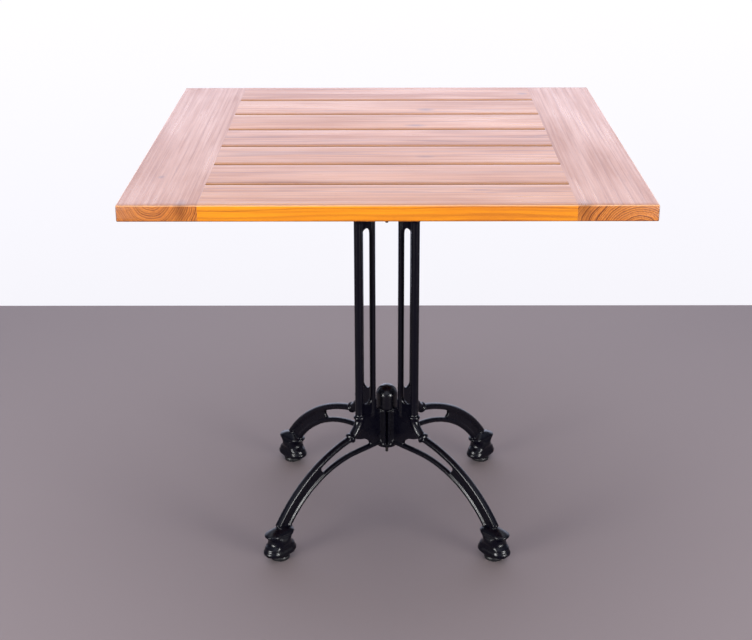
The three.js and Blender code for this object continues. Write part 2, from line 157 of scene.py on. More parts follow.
# a pattern's coordinates run along the board first, whichever way the board lies
def makeWood(name, alongX, pith, tone=0.0, ringWidth=None, streak=0.5, seed=0.0, knots=(), inner=0,
             finish=oiledWood):
    material, tree, shader = newMaterial(name)
    turn = (0, 0, 0) if alongX else (0, 0, -math.pi / 2)
    grain = objectPlace(tree, rotation=turn)
    heart = (0, pith[0] if alongX else -pith[0], pith[1])
    around = addNode(tree, "VectorMath", {"operation": "SUBTRACT"}, {0: grain, 1: heart}).outputs[0]
    shifted = addNode(tree, "VectorMath", {"operation": "ADD"}, {0: grain, 1: (seed,) * 3}).outputs[0]
    slow = addNode(tree, "Mapping", None, {"Vector": shifted, "Scale": (2.2, 16, 16)}).outputs[0]
    wander = addNode(tree, "TexNoise", {"noise_dimensions": "3D"}, {
        "Vector": slow, "Scale": 1.0, "Detail": 3.0, "Roughness": 0.5}).outputs["Color"]
    bend = addNode(tree, "VectorMath", {"operation": "MULTIPLY_ADD"}, {
        0: wander, 1: (0, 0.016, 0.016), 2: around}).outputs[0]
    parts = addNode(tree, "SeparateXYZ", None, {0: bend})
    across = mathNode(tree, "POWER", mathNode(tree, "SUBTRACT", parts.outputs[1], 0.008), 2.0)
    upright = mathNode(tree, "POWER", mathNode(tree, "SUBTRACT", parts.outputs[2], 0.008), 2.0)
    distance = mathNode(tree, "SQRT", mathNode(tree, "ADD", across, upright))
    # good and poor years: ring spacing and strength both drift outwards from the pith
    counted = mathNode(tree, "ADD", mathNode(tree, "MULTIPLY", distance, 170.0), seed)
    years = addNode(tree, "TexNoise", {"noise_dimensions": "1D"}, {
        "W": counted, "Scale": 1.0, "Detail": 2.0}).outputs["Fac"]
    spaced = mathNode(tree, "MULTIPLY_ADD", years, 0.004, distance)
    rings = mathNode(tree, "FRACT", mathNode(tree, "DIVIDE", spaced, ringWidth or finish["ringWidth"]))
    season = colourRamp(tree, rings, [
        (place, (level, level, level, 1)) for place, level in
        ((0.0, 0.3), (0.14, 0.0), (0.42, 0.2), (0.66, 1.0), (0.86, 1.0), (1.0, 0.3))])
    season = mathNode(tree, "MULTIPLY", season, mapRange(tree, years, 0.35, 0.60, 0.35, 1.0))
    # long streaks of darker heartwood, and broader clouds of tone
    long = addNode(tree, "Mapping", None, {"Vector": shifted, "Scale": (3.0, 240, 140)}).outputs[0]
    streaks = addNode(tree, "TexNoise", None, {
        "Vector": long, "Scale": 1.0, "Detail": 5.0, "Roughness": 0.62, "Distortion": 0.5}).outputs["Fac"]
    wide = addNode(tree, "Mapping", None, {"Vector": shifted, "Scale": (3.6, 26, 26)}).outputs[0]
    clouds = addNode(tree, "TexNoise", None, {
        "Vector": wide, "Scale": 1.0, "Detail": 3.0, "Roughness": 0.55, "Distortion": 0.3}).outputs["Fac"]
    base = mathNode(tree, "MULTIPLY_ADD", mapRange(tree, streaks, 0.32, 0.68), 0.45,
                    mathNode(tree, "MULTIPLY", mapRange(tree, clouds, 0.28, 0.72), 0.45))
    base = mathNode(tree, "ADD", base, tone)
    colour = colourRamp(tree, base, [(0.0, finish["pale"]), (0.5, finish["middle"]), (1.0, finish["dark"])])
    normal = addNode(tree, "TexCoord").outputs["Normal"]
    facing = addNode(tree, "SeparateXYZ", None, {0: normal}).outputs
    onEnd = mapRange(tree, mathNode(tree, "ABSOLUTE", facing[0 if alongX else 1]), 0.6, 0.9)
    colour = mixColour(tree, mathNode(tree, "MULTIPLY", onEnd, finish["endShade"]), colour, finish["dark"])
    ringed = mapRange(tree, onEnd, 0.0, 1.0, finish["ringOnFace"], finish["ringOnEnd"])
    colour = mixColour(tree, mathNode(tree, "MULTIPLY", season, ringed), colour, finish["streak"])
    vein = mapRange(tree, streaks, 0.58, 0.78, 0.0, streak)
    colour = mixColour(tree, vein, colour, finish["streak"])
    # arrises: painted shade darkens the lower ones and a painted highlight lightens the upper ones
    slope = facing[2]
    squareness = addNode(tree, "VectorMath", {"operation": "ABSOLUTE"}, {0: normal}).outputs[0]
    faces = addNode(tree, "SeparateXYZ", None, {0: squareness}).outputs
    squarest = mathNode(tree, "MAXIMUM", faces[2], mathNode(tree, "MAXIMUM", faces[0], faces[1]))
    arris = mapRange(tree, squarest, 0.985, 0.93)
    # painted shade: eased edges that face sideways or down are darkened
    paintedArrisShade = mathNode(tree, "MULTIPLY", arris, mapRange(tree, slope, 0.05, 0.35, 0.85, 0.0))
    colour = mixColour(tree, paintedArrisShade, colour, finish["streak"])
    # painted highlight: eased edges that face upwards are lightened
    wearAndPaintedHighlight = mathNode(tree, "MULTIPLY", arris, mapRange(tree, slope, 0.15, 0.45, 0.0, 0.55))
    colour = mixColour(tree, wearAndPaintedHighlight, colour, finish["paintedArrisHighlight"])
    if inner:                                              # painted shade on the side board's inner face, seen inside the joints
        paintedJointShade = mapRange(tree, mathNode(tree, "MULTIPLY", facing[0], inner), 0.8, 0.95, 0.0, 0.85)
        colour = mixColour(tree, paintedJointShade, colour, finish["streak"])
    # pores: short dark dashes along the grain, dots on the ends
    fine = addNode(tree, "Mapping", None, {"Vector": shifted, "Scale": (70, 1300, 1300)}).outputs[0]
    pores = addNode(tree, "TexNoise", None, {
        "Vector": fine, "Scale": 1.0, "Detail": 2.0, "Roughness": 0.6}).outputs["Fac"]
    pit = mapRange(tree, pores, 0.60, 0.72)
    colour = mixColour(tree, mathNode(tree, "MULTIPLY", pit, 0.4), colour, finish["streak"])
    for x, y, radius, length, depth in knots:
        away = addNode(tree, "VectorMath", {"operation": "SUBTRACT"}, {
            0: objectPlace(tree), 1: (x * millimetre, y * millimetre, knotHeight)}).outputs[0]
        byLength, byRadius = 1 / length, 1 / radius
        stretch = (byLength, byRadius, byRadius / 2) if alongX else (byRadius, byLength, byRadius / 2)
        ragged = addNode(tree, "VectorMath", {"operation": "MULTIPLY_ADD"}, {
            0: wander, 1: (0.004, 0.004, 0), 2: away}).outputs[0]
        reach = addNode(tree, "VectorMath", {"operation": "MULTIPLY"}, {
            0: ragged, 1: [v / millimetre for v in stretch]}).outputs[0]
        outwards = addNode(tree, "VectorMath", {"operation": "LENGTH"}, {0: reach}).outputs["Value"]
        eye = mapRange(tree, outwards, 1.0, 0.2)
        colour = mixColour(tree, mathNode(tree, "MULTIPLY", eye, depth), colour, finish["streak"])
    tree.links.new(colour, shader.inputs["Base Color"])
    rough = mapRange(tree, mathNode(tree, "ADD", mathNode(tree, "MULTIPLY", clouds, 0.5),
                                    mathNode(tree, "MULTIPLY", streaks, 0.5)),
                     0.38, 0.62, *finish["roughness"])
    bare = mapRange(tree, slope, -0.8, -0.5, 0.65, 0.0)    # the underside has no finish
    rough = mathNode(tree, "MAXIMUM", rough, bare)
    tree.links.new(rough, shader.inputs["Roughness"])
    height = mathNode(tree, "SUBTRACT", mathNode(tree, "MULTIPLY", streaks, 0.6), pit)
    bump = addNode(tree, "Bump", None, {
        "Strength": 0.4, "Distance": finish["poreDepth"], "Height": height})
    tree.links.new(bump.outputs["Normal"], shader.inputs["Normal"])
    shader.inputs["IOR"].default_value = 1.34
    return material


# black stove enamel over cast iron: slightly uneven, dust on upward faces, rubbed on the arrises

enamel = {
    "colour": (0.0007, 0.0006, 0.0024, 1), "wearAndPaintedHighlight": (0.005, 0.005, 0.007, 1),
    "dust": (0.006, 0.006, 0.008, 1), "roughness": (0.24, 0.31), "upper": 0.62, "ior": 1.28,
    "grit": 0.000008, "ripple": 0.00005,
}


def makeEnamel(name, finish=enamel):
    material, tree, shader = newMaterial(name)
    place = objectPlace(tree)
    mottle = addNode(tree, "TexNoise", None, {
        "Vector": place, "Scale": 38.0, "Detail": 4.0, "Roughness": 0.6}).outputs["Fac"]
    grit = addNode(tree, "TexNoise", None, {
        "Vector": place, "Scale": 900.0, "Detail": 2.0, "Roughness": 0.7}).outputs["Fac"]
    ripple = addNode(tree, "TexNoise", None, {
        "Vector": place, "Scale": 130.0, "Detail": 3.0, "Roughness": 0.55}).outputs["Fac"]
    geometry = addNode(tree, "NewGeometry")
    edge = mapRange(tree, geometry.outputs["Pointiness"], 0.53, 0.60)
    wearAndPaintedHighlight = mathNode(tree, "MULTIPLY", edge, mapRange(tree, mottle, 0.45, 0.65))
    colour = mixColour(tree, wearAndPaintedHighlight, finish["colour"], finish["wearAndPaintedHighlight"])
    facing = addNode(tree, "SeparateXYZ", None, {0: geometry.outputs["Normal"]}).outputs[2]
    lying = mathNode(tree, "MULTIPLY", mapRange(tree, facing, 0.55, 1.0),
                     mapRange(tree, ripple, 0.42, 0.70, 0.0, 0.16))
    colour = mixColour(tree, lying, colour, finish["dust"])
    tree.links.new(colour, shader.inputs["Base Color"])
    rough = mapRange(tree, mathNode(tree, "ADD", mathNode(tree, "MULTIPLY", mottle, 0.7),
                                    mathNode(tree, "MULTIPLY", grit, 0.3)),
                     0.38, 0.62, *finish["roughness"])
    # rougher from dust and feet low down than up the column
    high = addNode(tree, "SeparateXYZ", None, {0: place}).outputs[2]
    rough = mathNode(tree, "MULTIPLY", rough, mapRange(tree, high, 0.20, 0.30, 1.0, finish["upper"]))
    rough = mathNode(tree, "ADD", rough, mathNode(tree, "MULTIPLY", lying, 0.8))
    tree.links.new(rough, shader.inputs["Roughness"])
    small = addNode(tree, "Bump", None, {"Strength": 0.5, "Distance": finish["grit"], "Height": grit})
    large = addNode(tree, "Bump", None, {
        "Strength": 0.5, "Distance": finish["ripple"], "Height": ripple,
        "Normal": small.outputs["Normal"]})
    tree.links.new(large.outputs["Normal"], shader.inputs["Normal"])
    shader.inputs["IOR"].default_value = finish["ior"]
    return material


zinc = {"colour": (0.42, 0.43, 0.44, 1), "dull": (0.22, 0.22, 0.22, 1), "roughness": (0.28, 0.5)}
blackened = {
    "colour": (0.030, 0.026, 0.028, 1), "dull": (0.060, 0.048, 0.042, 1), "roughness": (0.35, 0.55),
}


def makeZinc(name, finish=zinc):
    material, tree, shader = newMaterial(name)
    place = objectPlace(tree)
    bloom = addNode(tree, "TexNoise", None, {
        "Vector": place, "Scale": 260.0, "Detail": 4.0, "Roughness": 0.6}).outputs["Fac"]
    scratch = addNode(tree, "TexNoise", None, {
        "Vector": place, "Scale": 1800.0, "Detail": 2.0}).outputs["Fac"]
    colour = mixColour(tree, mapRange(tree, bloom, 0.4, 0.7), finish["colour"], finish["dull"])
    tree.links.new(colour, shader.inputs["Base Color"])
    tree.links.new(mapRange(tree, bloom, 0.35, 0.65, *finish["roughness"]), shader.inputs["Roughness"])
    bump = addNode(tree, "Bump", None, {"Strength": 0.3, "Distance": 0.00003, "Height": scratch})
    tree.links.new(bump.outputs["Normal"], shader.inputs["Normal"])
    shader.inputs["Metallic"].default_value = 0.9
    return material


nylon = {"colour": (0.004, 0.004, 0.005, 1), "scuffed": (0.030, 0.029, 0.028, 1), "roughness": (0.36, 0.5)}


def makeNylon(name, finish=nylon):
    material, tree, shader = newMaterial(name)
    place = objectPlace(tree)
    scuff = addNode(tree, "TexNoise", None, {
        "Vector": place, "Scale": 220.0, "Detail": 5.0, "Roughness": 0.7}).outputs["Fac"]
    low = addNode(tree, "SeparateXYZ", None, {0: place}).outputs[2]
    near = mapRange(tree, low, 0.002, 0.0)
    marks = mathNode(tree, "MULTIPLY", near, mapRange(tree, scuff, 0.45, 0.7))
    colour = mixColour(tree, marks, finish["colour"], finish["scuffed"])
    tree.links.new(colour, shader.inputs["Base Color"])
    tree.links.new(mapRange(tree, scuff, 0.3, 0.7, *finish["roughness"]), shader.inputs["Roughness"])
    bump = addNode(tree, "Bump", None, {"Strength": 0.3, "Distance": 0.00006, "Height": scuff})
    tree.links.new(bump.outputs["Normal"], shader.inputs["Normal"])
    shader.inputs["IOR"].default_value = 1.34
    return material


# tabletop boards

boards = {
    "size": 800, "thickness": 25, "height": 722, "sideWidth": 120, "slatWidth": 110,
    "slats": 7, "ease": 1.8, "easeSteps": 3, "gap": 0.3, "joint": 0.04,
    "tenonWidth": 80, "tenonThickness": 10, "tenonLength": 18,
}


# wanted picks the edges that are eased, so that faces meeting in a joint stay square
def easedBlock(size, centre, ease, steps, wanted):
    shape = bmesh.new()
    bmesh.ops.create_cube(shape, size=1)
    bmesh.ops.scale(shape, vec=size, verts=shape.verts)
    bmesh.ops.translate(shape, vec=centre, verts=shape.verts)
    edges = [e for e in shape.edges if wanted((e.verts[1].co - e.verts[0].co).normalized(),
                                              (e.verts[0].co + e.verts[1].co) / 2)]
    bmesh.ops.bevel(shape, geom=edges, offset=ease, offset_type="OFFSET", segments=steps,
                    profile=0.5, affect="EDGES", material=-1, clamp_overlap=True)
    return shape


def sliceAcross(shape, axis, places):
    normal = Vector((0, 0, 0))
    normal[axis] = 1
    for place in places:
        bmesh.ops.bisect_plane(shape, geom=shape.verts[:] + shape.edges[:] + shape.faces[:],
                               plane_co=normal * place, plane_no=normal)


def pushFaces(shape, faces, move):
    pushed = bmesh.ops.extrude_face_region(shape, geom=faces)
    bmesh.ops.delete(shape, geom=faces, context="FACES_ONLY")
    verts = [g for g in pushed["geom"] if isinstance(g, bmesh.types.BMVert)]
    bmesh.ops.translate(shape, vec=move, verts=verts)


def slatPlace(index):
    pitch = (boards["size"] - boards["slatWidth"]) / (boards["slats"] - 1)
    return -boards["size"] / 2 + boards["slatWidth"] / 2 + pitch * index


def buildSlat(index):
    b = boards
    y = slatPlace(index)
    z = b["height"] - b["thickness"] / 2
    length = b["size"] - 2 * b["sideWidth"] - 2 * b["joint"]
    shape = easedBlock((length, b["slatWidth"], b["thickness"]), (0, y, z), b["ease"], b["easeSteps"],
                       lambda along, middle: abs(along.x) > 0.5)
    sliceAcross(shape, 1, [y - b["tenonWidth"] / 2, y + b["tenonWidth"] / 2])
    sliceAcross(shape, 2, [z - b["tenonThickness"] / 2, z + b["tenonThickness"] / 2])
    for side in (-1, 1):
        ends = [f for f in shape.faces if f.normal.x * side > 0.9
                and abs(f.calc_center_median().y - y) < b["tenonWidth"] / 2
                and abs(f.calc_center_median().z - z) < b["tenonThickness"] / 2]
        pushFaces(shape, ends, (side * (b["tenonLength"] - b["joint"]), 0, 0))
    return shape


def buildSideBoard(side):
    b = boards
    z = b["height"] - b["thickness"] / 2
    x = side * (b["size"] - b["sideWidth"]) / 2
    shape = easedBlock((b["sideWidth"], b["size"], b["thickness"]), (x, 0, z), b["ease"], b["easeSteps"],
                       lambda along, middle: abs(along.x) > 0.5 or (middle.x - x) * side > 1)
    half = b["tenonWidth"] / 2 + b["gap"]
    middles = [slatPlace(i) for i in range(b["slats"])]
    sliceAcross(shape, 1, [m + s * half for m in middles for s in (-1, 1)])
    sliceAcross(shape, 2, [z - b["tenonThickness"] / 2 - b["gap"], z + b["tenonThickness"] / 2 + b["gap"]])
    mouths = [f for f in shape.faces if f.normal.x * side < -0.9
              and min(abs(f.calc_center_median().y - m) for m in middles) < half - 1
              and abs(f.calc_center_median().z - z) < b["tenonThickness"] / 2]
    pushFaces(shape, mouths, (side * (b["tenonLength"] + b["gap"]), 0, 0))
    return shape


# pith is each board's heart line: across the board, then height, in metres
# a knot is its place on the top face, half width, half length and depth of colour, in millimetres
slatWood = [
    {"pith": (-0.32, 0.66), "tone": 0.00, "seed": 0.31, "streak": 0.45,
     "knots": [(143, -318, 7, 26, 0.85), (160, -334, 5, 16, 0.85)]},
    {"pith": (-0.25, 0.80), "tone": 0.08, "seed": 1.12, "streak": 0.35},
    {"pith": (-0.10, 0.645), "tone": 0.04, "seed": 2.40, "streak": 0.40,
     "knots": [(66, -125, 9, 22, 0.85)]},
    {"pith": (0.02, 0.60), "tone": 0.16, "seed": 3.75, "streak": 0.60},
    {"pith": (0.09, 0.79), "tone": 0.02, "seed": 5.15, "streak": 0.40,
     "knots": [(54, 88, 12, 26, 0.85), (205, 66, 5, 10, 0.85)]},
    {"pith": (0.20, 0.63), "tone": 0.06, "seed": 6.35, "streak": 0.45,
     "knots": [(75, 210, 14, 22, 0.85)]},
    {"pith": (0.42, 0.82), "tone": 0.10, "seed": 7.85, "streak": 0.50,
     "knots": [(268, 345, 12, 14, 0.85)]},
]
for index, look in enumerate(slatWood):
    wood = makeWood("slatWood%d" % (index + 1), True, **look)
    finishPiece("wood_slat_%d" % (index + 1), buildSlat(index), "frame", wood,
                ["slat_%d" % (index + 1)])

# inner is the way a side board's inner edge faces, along x
sideWood = {
    "left": {"inner": 1, "pith": (-0.345, 0.731), "tone": 0.16, "seed": 0.45, "streak": 0.26,
             "knots": [(-352, -245, 7, 12, 0.85), (-303, -398, 12, 40, 0.55)]},
    "right": {"inner": -1, "pith": (0.372, 0.672), "tone": 0.12, "seed": 2.10, "streak": 0.32,
              "ringWidth": 0.0033, "knots": [(293, -398, 16, 40, 0.45)]},
}
for name, look in sideWood.items():
    wood = makeWood("sideBoardWood_" + name, False, finish=brownWood, **look)
    finishPiece("wood_side_board_" + name, buildSideBoard(-look["inner"]), "frame", wood,
                ["side_board_" + name])
print("tabletop boards made")


# cast iron quarters of the base

casting = {
    "outerR": 71, "outerRadius": 7.6, "innerR": 36.5, "innerRadius": 5.5, "web": 6.2,
    "slotLow": 231, "slotHigh": 569,
    "upperArc": (48, -97.5, 275.7, 6.6), "lowerArc": (80, -68.5, 210.5, 5.3),
    "elbowR": 94, "elbowRadius": 8.2, "upperEnd": 273, "lowerEnd": 249, "slotEnd": 168, "legWeb": 6.0,
    "collarRadius": 10.9, "collarHalf": 3.3, "collarZ": 210, "topCollarZ": 590,
    "bossRadius": 19.5, "bossRound": 1.6, "rim": 8, "seam": 0.35, "groove": 4.5, "grooveAngle": 0.14,
    "bore": 3.6, "recess": 8.5, "seat": 143, "bossLow": 131, "bossHigh": 209,
    "upperSeat": 591, "upperBossLow": 583, "upperBossHigh": 660,
    "padR": 170, "padRadius": 26, "padUnder": 671, "padTop": 678.7, "armRadius": 6.6, "riseR": 105,
    "footR": 271, "grain": 1.2, "softening": 8,
}

# half width seen from the front, height, and how far the round nose and heel stand apart
footProfile = [
    (0, 40, 0), (3.3, 40, 0), (3.3, 8, 0), (17.6, 8, 3), (19.7, 8.4, 3), (21.2, 9.6, 4), (23.2, 10.2, 6),
    (25.4, 10.8, 8), (27.4, 12.2, 9.2), (28.5, 14.2, 9.8), (28.8, 16.4, 10), (28.5, 18.4, 10),
    (27.7, 20.2, 9.8), (26.8, 21.5, 9.4), (26.2, 22.8, 9.0), (26.1, 24.4, 8.8), (25.8, 26.2, 8.6),
    (24.9, 27.8, 8), (23.5, 29.4, 6.6), (22.0, 31.2, 4.8), (21.2, 33.2, 3), (20.8, 36, 1.6),
    (20.7, 39.5, 1.2), (21.0, 42.5, 2), (22.2, 45, 4), (24.0, 47, 7), (25.4, 48.8, 9.2), (26, 50.4, 10),
    (26, 51.6, 10), (25.3, 53, 10), (23.4, 54.4, 9.4), (20.6, 56.0, 8.4), (15.5, 58.4, 6.5),
    (9, 60.6, 3.5), (3, 61.8, 1), (0, 62, 0),
]


def arcHeight(arc, x):
    return arc[1] + math.sqrt(arc[2] ** 2 - (x - arc[0]) ** 2)


# an outline of (radius, height) points turned round the upright line at x = centre
def spinProfile(points, steps, centre=0):
    shape = bmesh.new()
    verts = [shape.verts.new((r, 0, z)) for r, z in points]
    edges = [shape.edges.new(pair) for pair in zip(verts, verts[1:])]
    if points[0][0] > 0 and points[-1][0] > 0:
        edges.append(shape.edges.new((verts[-1], verts[0])))
    bmesh.ops.spin(shape, geom=verts + edges, cent=(0, 0, 0), axis=(0, 0, 1), dvec=(0, 0, 0),
                   angle=2 * math.pi, steps=steps, use_merge=True)
    bmesh.ops.remove_doubles(shape, verts=shape.verts, dist=1e-4)
    bmesh.ops.translate(shape, vec=(centre, 0, 0), verts=shape.verts)
    bmesh.ops.recalc_face_normals(shape, faces=shape.faces)
    return shape


# a disc carried along a path in the radial plane, each place given as (x, z, radius)
def sweepDisc(places, sides=24):
    shape = bmesh.new()
    bmesh.ops.create_circle(shape, cap_ends=True, segments=sides, radius=1)
    face = shape.faces[:][0]
    before = Matrix.Identity(4)
    for i, (x, z, radius) in enumerate(places):
        back = places[max(i - 1, 0)]
        ahead = places[min(i + 1, len(places) - 1)]
        along = Vector((ahead[0] - back[0], 0, ahead[1] - back[1])).normalized()
        frameHere = Matrix((Vector((along.z, 0, -along.x)), Vector((0, 1, 0)), along)).transposed().to_4x4()
        here = Matrix.Translation((x, 0, z)) @ frameHere @ Matrix.Diagonal((radius, radius, radius, 1))
        if i:
            grown = bmesh.ops.extrude_face_region(shape, geom=[face])
            if i > 1:
                bmesh.ops.delete(shape, geom=[face], context="FACES_ONLY")
            face = [g for g in grown["geom"] if isinstance(g, bmesh.types.BMFace)][0]
        bmesh.ops.transform(shape, matrix=here @ before.inverted(), verts=face.verts)
        before = here
    bmesh.ops.recalc_face_normals(shape, faces=shape.faces)
    return shape


def arcPlaces(arc, startX, endX, steps, radius):
    first, last = (math.asin((x - arc[0]) / arc[2]) for x in (startX, endX))
    angles = [first + (last - first) * i / steps for i in range(steps + 1)]
    return [(arc[0] + arc[2] * math.sin(a), arc[1] + arc[2] * math.cos(a), radius) for a in angles]


def bezierPlaces(points, steps, radius):
    places = []
    for i in range(steps + 1):
        t = i / steps
        weights = ((1 - t) ** 3, 3 * t * (1 - t) ** 2, 3 * t * t * (1 - t), t ** 3)
        x = sum(w * p[0] for w, p in zip(weights, points))
        z = sum(w * p[1] for w, p in zip(weights, points))
        places.append((x, z, radius))
    return places


def flatPlate(outline, thickness):
    shape = bmesh.new()
    face = shape.faces.new([shape.verts.new((x, -thickness / 2, z)) for x, z in outline])
    grown = bmesh.ops.extrude_face_region(shape, geom=[face])
    verts = [g for g in grown["geom"] if isinstance(g, bmesh.types.BMVert)]
    bmesh.ops.translate(shape, vec=(0, thickness, 0), verts=verts)
    bmesh.ops.triangulate(shape, faces=shape.faces)
    bmesh.ops.recalc_face_normals(shape, faces=shape.faces)
    return shape


# a quarter of a hub: a rim at its foot, and above the rim a groove at each joint face
def quarterBoss(low, high, seat):
    c = casting
    r, e, rimTop = c["bossRadius"], c["bossRound"], low + c["rim"]
    section = [(c["bore"], seat), (c["recess"], seat), (c["recess"], low)]
    section += [(r - e + e * math.sin(a), low + e - e * math.cos(a))
                for a in (math.radians(15 * k) for k in range(7))]
    section += [(r, rimTop - 1), (r - 1, rimTop), (r - 1, high - 1.2), (r - 2.2, high), (c["bore"], high)]
    shape = bmesh.new()
    face = shape.faces.new([shape.verts.new((x, 0, z)) for x, z in section])
    steps = 44
    reach = math.pi / 4
    bmesh.ops.rotate(shape, cent=(0, 0, 0), matrix=Matrix.Rotation(-reach, 3, "Z"), verts=shape.verts)
    bmesh.ops.spin(shape, geom=face.verts[:] + face.edges[:] + [face], cent=(0, 0, 0), axis=(0, 0, 1),
                   dvec=(0, 0, 0), angle=2 * reach, steps=steps, use_merge=False)
    bmesh.ops.remove_doubles(shape, verts=shape.verts, dist=1e-4)
    for v in shape.verts:
        angle = math.atan2(v.co.y, v.co.x)
        near = max(0.0, 1 - (reach - abs(angle)) / c["grooveAngle"])
        radius = math.hypot(v.co.x, v.co.y)
        if radius > c["recess"] + 1 and v.co.z > rimTop - 0.5:
            shrunk = (radius - c["groove"] * near) / radius
            v.co.x *= shrunk
            v.co.y *= shrunk
        v.co.x += c["seam"] * math.sqrt(2)                 # sets both joint faces back
    bmesh.ops.recalc_face_normals(shape, faces=shape.faces)
    return shape


def lowerWeb():
    c = casting
    slot = (c["outerR"] - c["outerRadius"] - c["innerR"] - c["innerRadius"]) / 2
    slotX = c["outerR"] - c["outerRadius"] - slot
    slotZ = c["slotLow"] + slot
    flat = c["lowerArc"][1] + c["lowerArc"][2]
    outline = [(c["recess"] + 4, flat), (45, flat), (45, 147), (46.5, 151), (50, 155.5), (55, 159.5),
               (61, 162.5), (70, 164.5), (c["elbowR"], arcHeight(c["upperArc"], c["elbowR"])),
               (84, 181), (77, 192), (c["outerR"], c["collarZ"]), (c["outerR"], slotZ)]
    outline += [(slotX + slot * math.cos(a), slotZ - slot * math.sin(a))
                for a in (math.pi * k / 12 for k in range(13))]
    webTop = c["bossHigh"] - 4
    outline += [(c["innerR"], slotZ), (c["innerR"], webTop), (c["recess"] + 4, webTop)]
    return flatPlate(outline, c["web"])


def upperWeb():
    c = casting
    slot = (c["outerR"] - c["outerRadius"] - c["innerR"] - c["innerRadius"]) / 2
    slotX = c["outerR"] - c["outerRadius"] - slot
    slotZ = c["slotHigh"] - slot
    armZ = c["padUnder"] + 1 - c["armRadius"] / 2
    outline = [(c["recess"] + 4, c["upperBossLow"] + 6), (c["innerR"], c["upperBossLow"] + 6),
               (c["innerR"], slotZ)]
    outline += [(slotX - slot * math.cos(a), slotZ + slot * math.sin(a))
                for a in (math.pi * k / 12 for k in range(13))]
    outline += [(c["outerR"], slotZ), (c["outerR"], c["topCollarZ"]), (73, 618), (82, 638), (93, 651),
                (c["riseR"], armZ - 10), (c["padR"] - 20, armZ - 1),
                (c["recess"] + 4, c["upperBossHigh"] - 8)]
    return flatPlate(outline, c["web"])


def legWeb():
    c = casting
    upper, lower, end = c["upperArc"], c["lowerArc"], c["slotEnd"]
    outline = [(end - 8, arcHeight(lower, end - 8)), (end - 4, arcHeight(lower, end) + 9),
               (end + 1, (arcHeight(lower, end) + arcHeight(upper, end)) / 2),
               (end + 1, arcHeight(upper, end) - 9), (end - 2, arcHeight(upper, end - 2))]
    steps = 16
    outline += [(x, arcHeight(upper, x)) for x in
                (end + (c["upperEnd"] - end) * i / steps for i in range(1, steps + 1))]
    outline += [(x, arcHeight(lower, x)) for x in
                (c["lowerEnd"] + (end - c["lowerEnd"]) * i / steps for i in range(steps))]
    return flatPlate(outline, c["legWeb"])


def collarRing(x, z, tilt=0):
    c = casting
    r, h = c["collarRadius"], c["collarHalf"]
    shape = spinProfile([(0, -h), (r - 2.4, -h), (r - 1.0, -h + 0.6), (r, -h + 2.2), (r, h - 2.2),
                         (r - 1.0, h - 0.6), (r - 2.4, h), (0, h)], 32)
    bmesh.ops.rotate(shape, cent=(0, 0, 0), matrix=Matrix.Rotation(math.radians(tilt), 3, "Y"),
                     verts=shape.verts)
    bmesh.ops.translate(shape, vec=(x, 0, z), verts=shape.verts)
    return shape


def armPad():
    c = casting
    r, low, high = c["padRadius"], c["padUnder"], c["padTop"]
    return spinProfile([(0, low), (r - 2, low), (r, low + 2), (r, high - 0.6), (r - 0.6, high), (0, high)],
                       48, c["padR"])


def padBoss():
    c = casting
    low = c["padUnder"]
    return spinProfile([(0, low - 7), (6, low - 7), (7.6, low - 5.4), (9, low + 2), (0, low + 2)],
                       24, c["padR"])


def footLevel(v):
    return min(footProfile, key=lambda level: abs(level[1] - v.co.z)
               + abs(level[0] - level[2] - v.co.xy.length))


# the two halves of a round turning are drawn apart, level by level, along the leg
def longFoot():
    shape = spinProfile([(width - apart, z) for width, z, apart in footProfile], 96)
    for v in shape.verts:
        if abs(v.co.x) > 0.01:
            v.co.x += math.copysign(footLevel(v)[2] * math.sqrt(2), v.co.x)
    bmesh.ops.translate(shape, vec=(casting["footR"], 0, 0), verts=shape.verts)
    return shape


def castingParts():
    c = casting
    x, top, lowerR = c["outerR"], c["topCollarZ"], c["lowerArc"][3]
    armZ = c["padUnder"] + 1 - c["armRadius"] / 2
    flat = c["lowerArc"][1] + c["lowerArc"][2]
    elbowEnd = arcHeight(c["upperArc"], c["elbowR"] + 1)
    yield sweepDisc([(x, c["collarZ"] - 3, c["outerRadius"]), (x, top + 3, c["outerRadius"])], 32)
    yield sweepDisc([(c["innerR"], c["bossHigh"] - 8, c["innerRadius"]),
                     (c["innerR"], c["upperBossLow"] + 12, c["innerRadius"])], 28)
    yield sweepDisc(bezierPlaces([(x, c["collarZ"]), (x, c["collarZ"] - 16),
                                  (c["elbowR"] - 13, elbowEnd + 9), (c["elbowR"] + 1, elbowEnd)],
                                 12, c["elbowRadius"]), 28)
    yield sweepDisc(arcPlaces(c["upperArc"], c["elbowR"] - 2, c["upperEnd"], 40, c["upperArc"][3]), 28)
    yield sweepDisc([(c["bossRadius"] - 6, flat, lowerR), (c["lowerArc"][0] + 0.5, flat, lowerR)])
    yield sweepDisc(arcPlaces(c["lowerArc"], c["lowerArc"][0], c["lowerEnd"], 40, lowerR), 24)
    yield sweepDisc(bezierPlaces([(x, top), (x, top + 34), (c["riseR"] - 14, armZ - 4), (c["padR"], armZ)],
                                 20, c["armRadius"]), 28)
    yield sweepDisc([(c["bossRadius"] - 6, c["upperBossHigh"] - 8, lowerR), (c["padR"] - 10, armZ, lowerR)])
    yield lowerWeb()
    yield upperWeb()
    yield legWeb()
    yield collarRing(x, c["collarZ"])
    yield sweepDisc([(c["recess"] + 4, c["bossHigh"] + 0.5, 3.6), (x, c["bossHigh"] + 0.5, 3.6)], 20)
    yield collarRing(c["elbowR"], elbowEnd + 1, 118)
    yield collarRing(x, top)
    yield quarterBoss(c["bossLow"], c["bossHigh"], c["seat"])
    yield quarterBoss(c["upperBossLow"], c["upperBossHigh"], c["upperSeat"])
    yield longFoot()
    yield armPad()
    yield padBoss()


